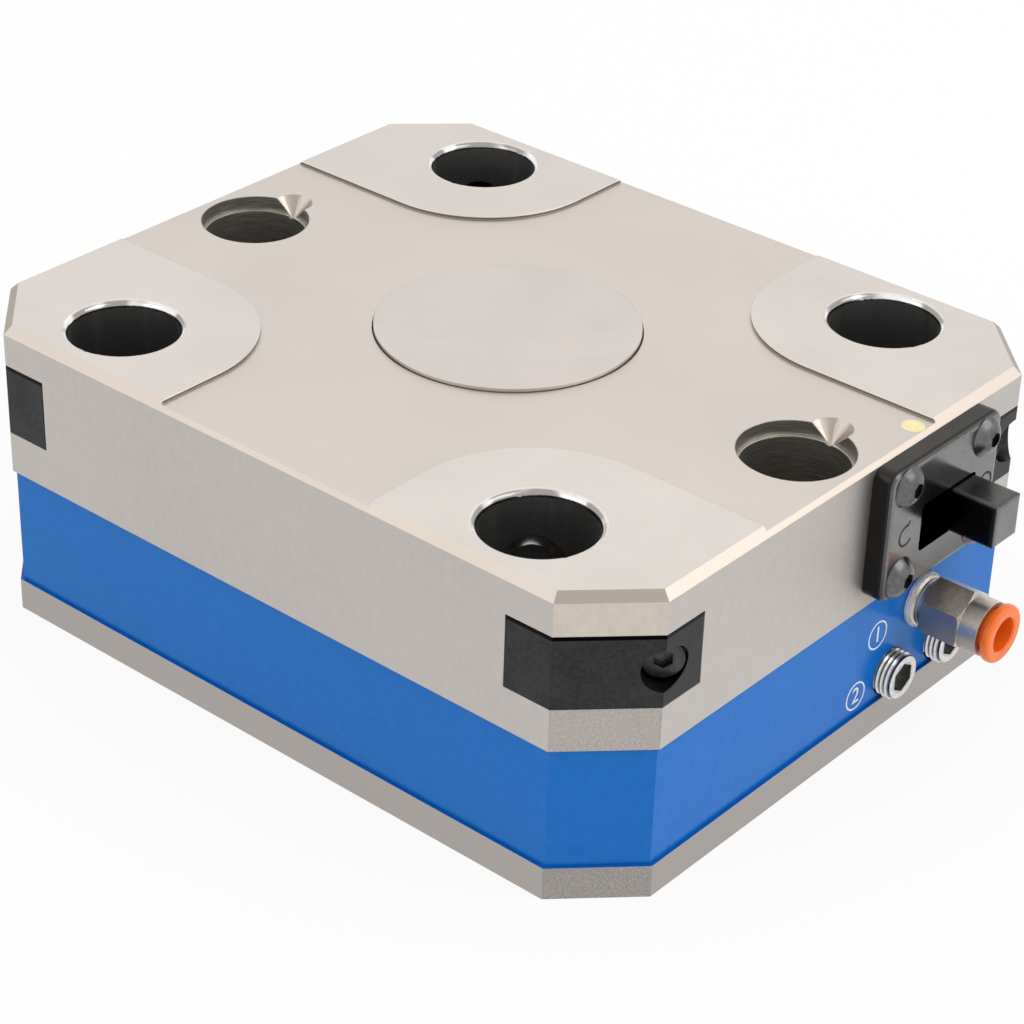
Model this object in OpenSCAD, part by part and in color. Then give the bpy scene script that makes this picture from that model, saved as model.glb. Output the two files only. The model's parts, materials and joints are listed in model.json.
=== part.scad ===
// Pneumatic quick-change clamping module with four stud receivers.
// The long side runs along X, and the end face with the switch and the ports looks towards +X.
// The origin is the centre of the block's underside, and all sizes are in millimetres.

/* [Block] */
// Length of the block along X
block_l = 152; // [148:0.5:156]
// Width of the block along Y
block_w = 125.2; // [122:0.2:130]
// Height of the block up to its locating pads
block_h = 58.8; // [58.4:0.1:60]
// Leg of the corner cut, along each side
corner_cut = 12.6; // [12:0.1:13]
// Bevel round the top edge
top_bevel = 1.5; // [1:0.1:2]
// Depth of the relieved surface between the pads
relief_depth = 0.7; // [0.4:0.1:1]
// Radius of a corner pad round its receiver
pad_r = 24; // [22:0.5:25]

/* [Side band] */
// Height of the painted band's lower edge
band_z0 = 6.2; // [5.6:0.1:6.6]
// Height of the painted band's upper edge
band_z1 = 29.5; // [28.5:0.5:30.5]
// How far the band's face lies behind the side
band_recess = 0.65; // [0.4:0.05:0.8]
// Thickness of the band's coat
band_t = 0.3; // [0.2:0.05:0.5]

/* [Stud receivers] */
// Distance between receiver centres, both ways
stud_pitch = 96; // [95:0.5:97]
// Diameter of a receiver
stud_d = 20; // [19:0.5:20.5]
// Depth of a receiver below the pads
stud_depth = 26; // [24:0.5:27]
// Radius of the rounded lip at a receiver's mouth
stud_lip = 1.05; // [0.6:0.05:1.5]
// Size of the bevelled corner at a receiver's floor
stud_corner = 0.6; // [0.4:0.05:1]
// How much smaller that corner is in the first receiver, which locates the pallet
locating_extra = 0.1; // [0.05:0.05:0.2]

/* [Mounting holes] */
// Distance between the two mounting bolts
bolt_pitch = 127; // [126:0.5:128]
// Diameter of a mounting hole
bolt_d = 13.5; // [12:0.5:13.5]
// Diameter of the head recess
bolt_head_d = 19.2; // [18:0.2:20]
// Diameter of the recess at its mouth
bolt_mouth_d = 20.4; // [20:0.2:21]
// Depth of the mouth's step
bolt_mouth_depth = 2.8; // [2:0.1:3.5]
// Height of the seat that the bolt head rests on
bolt_seat_z = 30; // [26:0.5:34]
// Diameter of the conical notch in the recess's rim
notch_d = 7.5; // [6:0.5:8]

/* [Lock] */
// Diameter of a locking pin
pin_d = 12; // [11:0.5:12]
// Depth of the locking pins' axes below the pads
pin_drop = 14.45; // [14:0.05:15]
// Radial play of a pin in its bore
pin_play = 0.05; // [0.02:0.01:0.1]
// How far a released pin's nose lies behind its receiver's wall
pin_nose_back = 1.08; // [0.8:0.02:1.4]
// Outward travel of a pin for each unit of piston lift
wedge_ratio = 0.6; // [0.5:0.05:0.6]
// Distance of the wedge's face from the centre at the pins' height
wedge_s = 12; // [11.5:0.1:12.5]
// Height of the wedge's top above the pins' axes when released
wedge_rise = 2.65; // [2:0.05:2.7]
// Thickness of the piston
piston_t = 12; // [11:0.5:12.5]
// Lift of the piston from released to locked
piston_lift = 6.5; // [6:0.1:6.5]
// Diameter of the wedge's round foot
hub_d = 44.9; // [44:0.1:45]
// Radial play of the piston and its foot
piston_play = 0.05; // [0.03:0.01:0.1]

/* [Covers] */
// Diameter of the centre cover
cover_d = 48; // [47:0.5:49]
// Thickness of the centre cover
cover_t = 4; // [3.5:0.1:4]
// Width of the groove round the centre cover
cover_gap = 0.25; // [0.15:0.05:0.4]
// Diameter of the base cover
base_d = 100; // [98:0.5:101]
// Width of the step that the base cover is screwed to
base_land = 10; // [9.5:0.1:11]
// Thickness of the base cover
base_t = 8; // [7.5:0.1:8]

/* [Corner blocks] */
// Height of a corner block
corner_h = 13.7; // [13:0.1:14.5]
// Thickness of a corner block behind the corner's flat
corner_t = 6.85; // [6:0.05:7]
// Distance of a corner screw from the middle of the corner's flat
corner_screw_t = 9.05; // [8.6:0.05:9.5]
// Diameter of a corner screw's recess
corner_recess_d = 8; // [7.6:0.1:8.4]

/* [Switch] */
// Width of the switch plate
plate_w = 33.3; // [32:0.1:34]
// Height of the switch plate
plate_h = 25.3; // [24:0.1:25.4]
// Thickness of the switch plate
plate_t = 4; // [3.5:0.1:4.5]
// Place of the plate's centre along Y
plate_y = 21.35; // [21:0.05:21.6]
// Depth of the plate's centre below the pads
plate_drop = 14.15; // [14.1:0.05:14.4]
// Length of the window in the plate
window_w = 16.3; // [16:0.1:17]
// Height of the window in the plate
window_h = 9.2; // [9.2:0.1:9.6]
// Width of the lever along Y
lever_w = 7.7; // [7:0.1:7.8]
// Height of the lever
lever_h = 8.4; // [8:0.1:8.4]
// Length of the lever in front of the plate
lever_out = 9.5; // [8:0.1:11]
// Distance of the lever from the plate's centre, along Y
lever_side = 5.8; // [5.6:0.05:5.9]
// Depth of the lever below the plate's centre
lever_drop = 1.65; // [1.5:0.05:1.8]
// Diameter of the valve spool
spool_d = 7.9; // [7.5:0.1:8]

/* [Push-in fitting] */
// Place of the fitting's axis along Y
fit_y = 25.3; // [25:0.1:25.6]
// Height of the fitting's axis
fit_z = 22.2; // [22:0.1:22.4]
// Diameter of the port thread
port_d = 9.7; // [9.5:0.1:9.8]
// Distance across the hexagon's flats
fit_hex = 10.2; // [10:0.1:11]
// Diameter of the bore that the tube goes in
tube_bore_d = 6.2; // [6.1:0.05:6.3]
// Travel of the release collar
collar_travel = 0.6; // [0.4:0.1:0.7]

/* [Port plugs] */
// Place of the first plug's axis along Y
plug_y = 17.6; // [17.4:0.1:17.8]
// Distance between the two plugs
plug_pitch = 15.6; // [15.4:0.1:15.8]
// Height of the plugs' axes
plug_z = 10.4; // [10.3:0.1:10.8]
// Diameter of a plug over its thread
plug_d = 9; // [8.8:0.1:9.2]
// Length of a plug in front of the side band
plug_out = 3; // [2.5:0.1:3.5]
// Pitch of the port threads
thread_pitch = 0.9; // [0.8:0.05:1]

/* [Hidden] */
$fn = 96;
eps = 0.01;
far = 200;
bevel_z = block_h - top_bevel;
relief_z = block_h - relief_depth;
face_x = block_l / 2;
face_y = block_w / 2;
chamfer_s = (face_x + face_y - corner_cut) / sqrt(2);
pin_z = block_h - pin_drop;
plate_z = block_h - plate_drop;
lever_y = plate_y + lever_side;
lever_z = plate_z - lever_drop;
inset_cut = 2 - sqrt(2);
band_x = face_x - band_recess;
stud_c = stud_pitch / 2;
stud_r = stud_d / 2;
stud_floor = block_h - stud_depth;
pin_r = pin_d / 2;
pin_bore_r = pin_r + pin_play;
pin_nose_s = stud_c * sqrt(2) - stud_r - pin_nose_back;
hub_r = hub_d / 2;
centre_r = hub_r + piston_play;
base_r = base_d / 2;
cylinder_r = base_r - base_land;
piston_r = cylinder_r - piston_play;
slide_gap = 0.2;
seat_gap = 0.1;
overlap = 0.2;
piston_z0 = base_t + slide_gap;
piston_z1 = piston_z0 + piston_t;
cylinder_z1 = piston_z1 + piston_lift + 2 * slide_gap;
wedge_top_z = pin_z + wedge_rise;
wedge_clear = 0.85;
shoulder_z = pin_z - pin_r - piston_lift - wedge_clear;
cover_r = cover_d / 2;
cover_z0 = block_h - cover_t;
spigot_h = 0.8;
seal_w = 1.8;
seal_t = 1.6;
seal_play = 0.02;
hub_seal_drop = 1.7;
hub_seal_z = shoulder_z - hub_seal_drop;
piston_seal_drop = 3;
piston_seal_z = piston_z1 - piston_seal_drop;
spring_r0 = 25;
spring_cover = 4;
spring_r1 = cylinder_r - spring_cover;
spring_rim = 1;
spring_pocket = 6.2;
spring_leaves = 4;
spring_leaf_t = 1;
spring_bond = 0.05;
base_screws = 6;
base_screw_rim = 1;
m4_r = 2;
m4_hole_r = m4_r + 0.05;
m4_head_r = 3.5;
m4_head_h = 4;
m4_key = 3;
m4_recess_r = 3.8;
m4_recess_h = m4_head_h + 0.5;
base_screw_len = 13;
base_screw_bite = 0.5;
base_screw_r = base_r - base_screw_rim - m4_recess_r;
base_seal_w = 1.4;
base_seal_t = 1.25;
base_cord_r = 0.58;
base_seal_r = (cylinder_r + base_screw_r - m4_hole_r) / 2;
tee_neck_w = 5;
tee_head_w = 9;
tee_neck_t = 2;
tee_head_t = 2;
tee_below = 3.35;
tee_above = 2.15;
tee_z0 = pin_z - tee_below;
tee_z1 = pin_z + tee_above;
nose_cone = 2.4;
nose_r = 3.6;
pin_seal_back = 6.8;
pin_seal_s = pin_nose_s - pin_seal_back;
window_play = 0.2;
window_round = 1;
window_y = lever_y + lever_w / 2 + window_play - window_w / 2;
lever_travel = window_w - lever_w - 2 * window_play;
finger_r = 2;
finger_play = 0.3;
lever_round = 0.9;
spool_len = 10;
spool_hole_y = 6;
spool_y0 = lever_y - spool_hole_y;
spool_r = spool_d / 2;
spool_bore_r = spool_r + 0.05;
spool_seal_w = 1.2;
spool_cord_r = 0.46;
pocket_rim = 1;
pocket_h = window_h + 2 * pocket_rim;
pocket_z0 = lever_z - pocket_h / 2;
pocket_z1 = lever_z + pocket_h / 2;
pocket_y0 = spool_y0 - lever_travel - finger_play;
pocket_y1 = lever_y + lever_w / 2 + 2 * window_play;
pocket_depth = 18;
pocket_x = face_x - pocket_depth;
housing_depth = 8.2;
housing_x1 = face_x - housing_depth;
spool_depth = 13;
spool_x = face_x - spool_depth;
plate_x1 = face_x + plate_t;
plate_round = 1;
plate_corner = 2.5;
plate_screw_side = 4.95;
plate_screw_edge = 3.75;
plate_screw_w = plate_w - 2 * plate_screw_side;
plate_screw_h = plate_h - 2 * plate_screw_edge;
plate_screw_depth = 6;
button_r = 3.8;
button_h = 2.2;
button_key = 2.5;
button_key_depth = 1.4;
corner_z0 = pin_z - corner_h / 2;
corner_z1 = pin_z + corner_h / 2;
corner_back_s = chamfer_s - corner_t;
corner_block_gap = 0.1;
corner_seat_t = 1.15;
corner_shank = 8.9;
boss_len = 2.65;
boss_play = 0.2;
flat_t = (face_y - face_x) / sqrt(2);
corner_seat_s = corner_back_s + corner_seat_t;
corner_head_h = 2.2;
corner_tip_s = corner_seat_s - corner_shank;
boss_r = pin_r - boss_play;
boss_s = corner_back_s - boss_len;
plug_r = plug_d / 2;
plug_bore_r = plug_r + 0.1;
plug_depth = 10;
plug_key = 5;
plug_key_depth = 4;
plug_edge = 0.4;
ridge = 0.45;
passage_r = 2;
riser_r = 1.5;
riser_depth = 10;
riser_x = face_x - riser_depth;
duct_depth = 15;
duct_x = face_x - duct_depth;
duct_z = cylinder_z1 - 2 * slide_gap;
duct_r = 1.2;
port_r = port_d / 2;
port_bore_r = port_r + 0.05;
port_depth = 9;
fit_thread_out = 1.4;
fit_neck_len = 1.2;
fit_hex_len = 7.8;
fit_round_len = 3.8;
fit_neck_x = face_x + fit_thread_out;
fit_neck_r = 4.2;
fit_hex_x0 = fit_neck_x + fit_neck_len;
fit_hex_x1 = fit_hex_x0 + fit_hex_len;
fit_hex_edge = 0.5;
fit_round_x = fit_hex_x1 + fit_round_len;
fit_round_r = fit_hex / 2;
tube_r = tube_bore_d / 2;
tube_stop_out = 1;
tube_stop_len = 6.4;
cup_wall = 1.2;
tube_stop_x = face_x + tube_stop_out;
cup_r = tube_r + cup_wall;
cup_x = tube_stop_x + tube_stop_len;
tape_t = 0.23;
tape_w = 1.25;
cup_seal_w = 1.6;
grip_x = cup_x + cup_seal_w + slide_gap + seat_gap;
grip_t = 0.6;
collar_gap = collar_travel + slide_gap;
collar_x0 = fit_round_x + collar_gap;
collar_t = 1.9;
collar_step = 0.35;
collar_r = fit_round_r + collar_step;
collar_round = 0.7;
collar_bore_r = tube_r + seat_gap;
collar_sleeve_r = cup_r - 2 * slide_gap;
collar_lead = 0.3;
brass_edge = 3;
brass_side = 0.9;
brass_x = face_x - brass_edge;
brass_y = plate_y - brass_side;
brass_r = 2.1;
brass_depth = 4.5;

// Distance of the wedge's face from the centre at height z
function wedge_at(z) = wedge_s + wedge_ratio * (pin_z - z);

// Place of the cylinder's wall along X, at a distance y from its centre
function cylinder_x(y) = sqrt(cylinder_r * cylinder_r - y * y);

// The four corners: 1 is +X +Y, 2 is -X +Y, 3 is -X -Y, 4 is +X -Y
module at_corner(i) {
    mirror([i == 2 || i == 3 ? 1 : 0, 0, 0])
        mirror([0, i > 2 ? 1 : 0, 0])
            children();
}

module at_corners() {
    for (i = [1 : 4])
        at_corner(i) children();
}

module at_ends() {
    for (m = [0, 1])
        mirror([m, 0, 0]) children();
}

// Turns a corner's diagonal onto the local X axis, where s is the distance from the centre
module on_diagonal() {
    rotate([0, 0, 45]) children();
}

// A shape drawn along Z is laid along X, starting at x
module along_x(x, y, z) {
    translate([x, y, z]) rotate([0, 90, 0]) children();
}

// A profile drawn in s and z is given a width across the diagonal
module across(width) {
    rotate([90, 0, 0]) linear_extrude(width, center = true) children();
}

module ring(r_mid, r_wire) {
    rotate_extrude() translate([r_mid, 0]) circle(r_wire, $fn = 24);
}

module tube(r_out, r_in, h) {
    difference() {
        cylinder(r = r_out, h = h);
        translate([0, 0, -eps]) cylinder(r = r_in, h = h + 2 * eps);
    }
}

module hex_hole(key, h) {
    cylinder(r = key / sqrt(3), h = h, $fn = 6);
}

module rounded_rect(w, h, r) {
    square([w - 2 * r, h], center = true);
    square([w, h - 2 * r], center = true);
    for (x = [-1, 1], y = [-1, 1])
        translate([x * (w / 2 - r), y * (h / 2 - r)]) circle(r);
}

// Block outline moved inwards by d
module outline(d) {
    x = face_x - d;
    y = face_y - d;
    c = corner_cut - d * inset_cut;
    polygon([[x, y - c], [x - c, y], [c - x, y], [-x, y - c],
             [-x, c - y], [c - x, -y], [x - c, -y], [x, c - y]]);
}

// Space between two opposite sides, with both top edges bevelled
module side_pair(turn, half) {
    rotate([90, 0, turn + 90])
        linear_extrude(2 * far, center = true)
            polygon([[-half, 0], [half, 0], [half, bevel_z], [half - top_bevel, block_h],
                     [top_bevel - half, block_h], [-half, bevel_z]]);
}

module plain_block() {
    intersection() {
        side_pair(0, face_y);
        side_pair(90, face_x);
        side_pair(45, chamfer_s);
        side_pair(-45, chamfer_s);
    }
}

module pads_outline() {
    at_corners() translate([stud_c, stud_c]) {
        circle(pad_r);
        translate([0, -pad_r]) square(far);
        translate([-pad_r, 0]) square(far);
    }
}

module relief() {
    translate([0, 0, relief_z]) linear_extrude(far)
        difference() {
            square(2 * far, center = true);
            pads_outline();
        }
}

module stud_receiver(corner) {
    translate([stud_c, stud_c, stud_floor]) rotate_extrude()
        polygon([[0, 0], [stud_r - corner, 0], [stud_r, corner], [stud_r, far], [0, far]]);
    translate([stud_c, stud_c, block_h]) rotate_extrude()
        difference() {
            translate([stud_r - eps, -stud_lip]) square([stud_lip + eps, 2 * stud_lip]);
            translate([stud_r + stud_lip, -stud_lip]) circle(stud_lip, $fn = 48);
        }
}

module mounting_hole() {
    translate([bolt_pitch / 2, 0, 0]) {
        translate([0, 0, -eps]) cylinder(r = bolt_d / 2, h = far);
        translate([0, 0, bolt_seat_z]) cylinder(r = bolt_head_d / 2, h = far);
        translate([0, 0, relief_z - bolt_mouth_depth]) cylinder(r = bolt_mouth_d / 2, h = far);
        translate([0, bolt_mouth_d / 2, relief_z - notch_d / 2])
            cylinder(r1 = 0, r2 = notch_d / 2 + eps, h = notch_d / 2 + eps);
    }
}

// Pin bore, the seat of the corner block and the hole for its screw
module corner_hollows() {
    on_diagonal() {
        along_x(centre_r - 2, 0, pin_z) cylinder(r = pin_bore_r, h = far);
        translate([corner_back_s, -far / 2, corner_z0]) cube([far, far, corner_z1 - corner_z0]);
        along_x(corner_tip_s - seat_gap, flat_t - corner_screw_t, pin_z) cylinder(r = m4_hole_r, h = far);
    }
}

module centre_hollows() {
    translate([0, 0, -eps]) cylinder(r = cylinder_r, h = cylinder_z1 + eps);
    translate([0, 0, -eps]) cylinder(r = base_r + seat_gap, h = base_t + eps);
    cylinder(r = centre_r, h = far);
    translate([0, 0, cover_z0]) cylinder(r = cover_r + cover_gap, h = far);
    translate([0, 0, hub_seal_z - seal_w / 2]) cylinder(r = centre_r + seal_t, h = seal_w);
    at_base_screws() cylinder(r = m4_hole_r, h = m4_recess_h + base_screw_len + base_screw_bite);
}

module at_base_screws() {
    for (i = [0 : base_screws - 1])
        rotate([0, 0, i * 360 / base_screws])
            translate([base_screw_r, 0, 0]) children();
}

module at_plate_screws() {
    for (y = [-1, 1], z = [-1, 1])
        translate([0, plate_y + y * plate_screw_w / 2, plate_z + z * plate_screw_h / 2])
            rotate([0, 90, 0]) children();
}

// Valve pocket behind the switch plate, the ports and the drilled air passages
module end_hollows() {
    translate([pocket_x, pocket_y0, pocket_z0])
        cube([far, pocket_y1 - pocket_y0, pocket_z1 - pocket_z0]);
    translate([face_x - plate_screw_depth - seat_gap, 0, 0])
        at_plate_screws() cylinder(r = m4_hole_r, h = far);
    along_x(face_x - port_depth, fit_y, fit_z) cylinder(r = port_bore_r, h = far);
    along_x(riser_x - passage_r, fit_y, fit_z) cylinder(r = passage_r, h = face_x - riser_x);
    for (y = [plug_y, plug_y + plug_pitch]) {
        along_x(face_x - plug_depth, y, plug_z) cylinder(r = plug_bore_r, h = far);
        along_x(cylinder_x(y) - passage_r, y, plug_z) cylinder(r = passage_r, h = face_x - cylinder_x(y));
    }
    translate([riser_x, fit_y, fit_z]) cylinder(r = riser_r, h = lever_z - fit_z);
    translate([duct_x, brass_y, duct_z - riser_r]) cylinder(r = riser_r, h = lever_z - duct_z);
    along_x(cylinder_x(brass_y) - duct_r, brass_y, duct_z) cylinder(r = duct_r, h = duct_x - cylinder_x(brass_y));
    translate([brass_x, brass_y, lever_z]) cylinder(r = riser_r, h = far);
    translate([brass_x, brass_y, relief_z - brass_depth]) cylinder(r = brass_r, h = far);
}

module module_body() {
    color("Gainsboro")
    difference() {
        plain_block();
        relief();
        translate([0, 0, band_z0]) linear_extrude(band_z1 - band_z0)
            difference() {
                outline(-1);
                outline(band_recess + band_t);
            }
        at_corner(1) stud_receiver(stud_corner - locating_extra);
        for (i = [2 : 4])
            at_corner(i) stud_receiver(stud_corner);
        at_corners() corner_hollows();
        at_ends() mounting_hole();
        centre_hollows();
        end_hollows();
    }
}

// Painted coat, with a thin layer on the ledge below it
module blue_side_band() {
    ledge_t = 0.1;
    color("RoyalBlue")
    difference() {
        union() {
            translate([0, 0, band_z0]) linear_extrude(band_z1 - band_z0) outline(band_recess);
            translate([0, 0, band_z0]) linear_extrude(ledge_t) outline(ledge_t / 2);
        }
        translate([0, 0, band_z0 - 1]) linear_extrude(band_z1) outline(band_recess + band_t);
        along_x(face_x / 2, fit_y, fit_z) cylinder(r = port_bore_r + seat_gap, h = far);
        for (y = [plug_y, plug_y + plug_pitch])
            along_x(face_x / 2, y, plug_z) cylinder(r = plug_bore_r + seat_gap, h = far);
    }
}

module centre_cover() {
    color("LightGray") {
        translate([0, 0, cover_z0]) cylinder(r = cover_r, h = cover_t);
        translate([0, 0, cover_z0 - spigot_h]) cylinder(r = centre_r - seat_gap, h = spigot_h + eps);
    }
}

module base_cover() {
    color("Silver")
    difference() {
        cylinder(r = base_r, h = base_t);
        translate([0, 0, base_t - base_seal_t])
            tube(base_seal_r + base_seal_w / 2, base_seal_r - base_seal_w / 2, base_seal_t + eps);
        at_base_screws() {
            cylinder(r = m4_hole_r, h = far);
            translate([0, 0, -eps]) cylinder(r = m4_recess_r, h = m4_recess_h + eps);
        }
    }
}

module base_cover_screws() {
    color("DimGray")
    at_base_screws()
        translate([0, 0, m4_recess_h]) rotate([180, 0, 0]) cap_screw(m4_head_h, base_screw_len);
}

// Screw with its seat at z = 0, its head above and its shank below
module cap_screw(head_h, shank) {
    difference() {
        cylinder(r = m4_head_r, h = head_h);
        translate([0, 0, head_h / 2]) hex_hole(m4_key, head_h);
    }
    translate([0, 0, -shank]) cylinder(r = m4_r, h = shank + eps);
}

module base_seal() {
    color("Black")
    translate([0, 0, base_t - base_seal_t + base_cord_r + seal_play]) ring(base_seal_r, base_cord_r);
}

// A bar that follows the wedge's face, from depth d1 to depth d0 behind it
module slope_bar(d0, d1, width, z0, z1) {
    across(width)
        polygon([[wedge_at(z0) - d1, z0], [wedge_at(z0) - d0, z0],
                 [wedge_at(z1) - d0, z1], [wedge_at(z1) - d1, z1]]);
}

// Space outside one face of the wedge, above the foot's shoulder
module slope_cut() {
    z1 = wedge_top_z + 1;
    across(far)
        polygon([[wedge_at(shoulder_z), shoulder_z], [far, shoulder_z], [far, z1], [wedge_at(z1), z1]]);
}

// Piston with a four-sided wedge whose T-slots push the pins out and pull them back
module clamp_piston() {
    color("SlateGray")
    difference() {
        union() {
            translate([0, 0, piston_z0]) cylinder(r = piston_r, h = piston_t);
            translate([0, 0, piston_z0]) cylinder(r = hub_r, h = wedge_top_z - piston_z0);
        }
        for (i = [0 : 3])
            rotate([0, 0, 45 + 90 * i]) {
                slope_cut();
                slope_bar(-1, tee_neck_t, tee_neck_w, shoulder_z, wedge_top_z + 1);
                slope_bar(tee_neck_t - eps, tee_neck_t + tee_head_t, tee_head_w, shoulder_z, wedge_top_z + 1);
            }
        translate([0, 0, piston_z0 - eps]) tube(spring_r1, spring_r0, spring_pocket);
        translate([0, 0, piston_seal_z - seal_w / 2]) tube(piston_r + 1, piston_r - seal_t, seal_w);
    }
}

module piston_seal() {
    color("Black")
    translate([0, 0, piston_seal_z]) ring(piston_r - seal_t / 2, seal_t / 2 - seal_play);
}

module hub_seal() {
    color("Black")
    translate([0, 0, hub_seal_z]) ring(centre_r + seal_t / 2, seal_t / 2 - seal_play);
}

// Stack of disc springs that lifts the piston, joined at their rims
module lock_spring() {
    rise = (spring_pocket - slide_gap) / spring_leaves - spring_leaf_t;
    r0 = spring_r0 + spring_rim;
    r1 = spring_r1 - spring_rim;
    color("DarkSlateGray")
    translate([0, 0, base_t]) rotate_extrude()
        for (i = [0 : spring_leaves - 1]) {
            z = i * (spring_leaf_t + rise - spring_bond);
            a = i % 2 == 0 ? 0 : rise;
            polygon([[r0, z + a], [r1, z + rise - a], [r1, z + rise - a + spring_leaf_t],
                     [r0, z + a + spring_leaf_t]]);
        }
}

// Pin with a coned nose, a sloped foot and a T-head that runs in the wedge's slot
module locking_pin(i) {
    color("Gray")
    at_corner(i) on_diagonal() {
        difference() {
            union() {
                along_x(2, 0, pin_z) cylinder(r = pin_r, h = pin_nose_s - nose_cone - 2);
                along_x(pin_nose_s - nose_cone, 0, pin_z) cylinder(r1 = pin_r, r2 = nose_r, h = nose_cone);
            }
            across(far)
                polygon([[-far, pin_z - far], [wedge_at(pin_z - far) + slide_gap, pin_z - far],
                         [wedge_at(pin_z + far) + slide_gap, pin_z + far], [-far, pin_z + far]]);
            along_x(pin_seal_s - seal_w / 2, 0, pin_z) tube(pin_r + 1, pin_r - seal_t, seal_w);
        }
        slope_bar(-slide_gap - 1, tee_neck_t + slide_gap + eps, tee_neck_w - 2 * slide_gap, tee_z0, tee_z1);
        slope_bar(tee_neck_t + slide_gap, tee_neck_t + tee_head_t - slide_gap, tee_head_w - 2 * slide_gap,
                  tee_z0, tee_z1);
    }
}

module pin_seal(i) {
    color("Black")
    at_corner(i) on_diagonal()
        along_x(pin_seal_s, 0, pin_z) ring(pin_r - seal_t / 2, seal_t / 2 - seal_play);
}

// Black block that closes a pin bore at the corner, with a round boss in the bore
module corner_block(i) {
    s0 = corner_back_s + corner_block_gap;
    z0 = corner_z0 + corner_block_gap;
    h = corner_z1 - corner_z0 - 2 * corner_block_gap;
    color("DarkSlateGray")
    at_corner(i) difference() {
        union() {
            intersection() {
                translate([0, 0, z0]) linear_extrude(h) outline(0);
                on_diagonal() translate([s0, -far / 2, 0]) cube(far);
            }
            on_diagonal() along_x(boss_s, 0, pin_z) cylinder(r = boss_r, h = s0 - boss_s + overlap);
        }
        on_diagonal() {
            along_x(corner_tip_s, flat_t - corner_screw_t, pin_z) cylinder(r = m4_hole_r, h = far);
            along_x(corner_seat_s, flat_t - corner_screw_t, pin_z) cylinder(r = corner_recess_d / 2, h = far);
        }
    }
}

module corner_block_screws() {
    color("DimGray")
    at_corners() on_diagonal()
        along_x(corner_seat_s, flat_t - corner_screw_t, pin_z) cap_screw(corner_head_h, corner_shank);
}

// Plate with a rounded front edge and a window that the lever slides in
module switch_plate() {
    color("DimGray")
    difference() {
        hull() {
            along_x(face_x, plate_y, plate_z) linear_extrude(eps)
                rounded_rect(plate_h, plate_w, plate_corner, $fn = 32);
            for (a = [0 : 30 : 90]) {
                inset = plate_round * (1 - cos(a));
                along_x(plate_x1 - plate_round * (1 - sin(a)) - eps, plate_y, plate_z) linear_extrude(eps)
                    rounded_rect(plate_h - 2 * inset, plate_w - 2 * inset, plate_corner - inset, $fn = 32);
            }
        }
        along_x(0, window_y, lever_z) linear_extrude(far) rounded_rect(window_h, window_w, window_round);
        at_plate_screws() cylinder(r = m4_hole_r, h = far);
    }
}

module switch_plate_screws() {
    dome_r = (button_r * button_r + button_h * button_h) / (2 * button_h);
    color("DimGray")
    translate([plate_x1, 0, 0]) at_plate_screws() {
        difference() {
            rotate_extrude() intersection() {
                square([button_r, button_h]);
                translate([0, button_h - dome_r]) circle(dome_r);
            }
            translate([0, 0, button_h - button_key_depth]) hex_hole(button_key, button_h);
        }
        translate([0, 0, -plate_t - plate_screw_depth]) cylinder(r = m4_r, h = plate_t + plate_screw_depth + eps);
    }
}

// Square lever with rounded edges and a round finger that moves the spool
module switch_lever() {
    x0 = housing_x1 + slide_gap;
    len = plate_x1 + lever_out - x0;
    color("DimGray") {
        intersection() {
            along_x(x0, lever_y, lever_z) linear_extrude(len) rounded_rect(lever_h, lever_w, lever_round);
            translate([x0, lever_y, lever_z]) rotate([90, 0, 0])
                linear_extrude(far, center = true) rounded_rect(2 * len, lever_h, lever_round);
            translate([x0, lever_y, lever_z])
                linear_extrude(far, center = true) rounded_rect(2 * len, lever_w, lever_round);
        }
        along_x(spool_x, lever_y, lever_z) cylinder(r = finger_r, h = x0 - spool_x + overlap);
    }
}

module valve_housing() {
    color("Silver")
    difference() {
        translate([pocket_x + seat_gap, pocket_y0 + seat_gap, pocket_z0 + seat_gap])
            cube([housing_x1 - pocket_x - seat_gap, pocket_y1 - pocket_y0 - 2 * seat_gap,
                  pocket_z1 - pocket_z0 - 2 * seat_gap]);
        along_spool(-far / 2) cylinder(r = spool_bore_r, h = far);
        translate([spool_x, lever_y - lever_travel - finger_r - finger_play, lever_z - finger_r - finger_play])
            cube([far, lever_travel + 2 * (finger_r + finger_play), 2 * (finger_r + finger_play)]);
    }
}

module along_spool(y) {
    translate([spool_x, spool_y0 + y, lever_z]) rotate([-90, 0, 0]) children();
}

module valve_spool() {
    color("Silver")
    difference() {
        along_spool(0) cylinder(r = spool_r, h = spool_len);
        for (y = [spool_seal_w, spool_len - spool_seal_w])
            along_spool(y - spool_seal_w / 2)
                tube(spool_r + 1, spool_r - 2 * (spool_cord_r + seal_play), spool_seal_w);
        along_x(spool_x - seat_gap, lever_y, lever_z) cylinder(r = finger_r + seat_gap, h = far);
    }
}

module spool_seals() {
    color("Black")
    for (y = [spool_seal_w, spool_len - spool_seal_w])
        along_spool(y) ring(spool_r - spool_cord_r - seal_play, spool_cord_r);
}

// Outline of a threaded shank, with ridges of the given pitch
module thread_profile(r, len, depth) {
    n = floor(len / thread_pitch);
    polygon(concat([[0, 0]], [for (i = [0 : n - 1], k = [0, 1])
            [r - (k == 0 ? depth : 0), (i + 0.5 * k) * thread_pitch]],
        [[r - depth, n * thread_pitch], [r - depth, len], [0, len]]));
}

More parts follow.
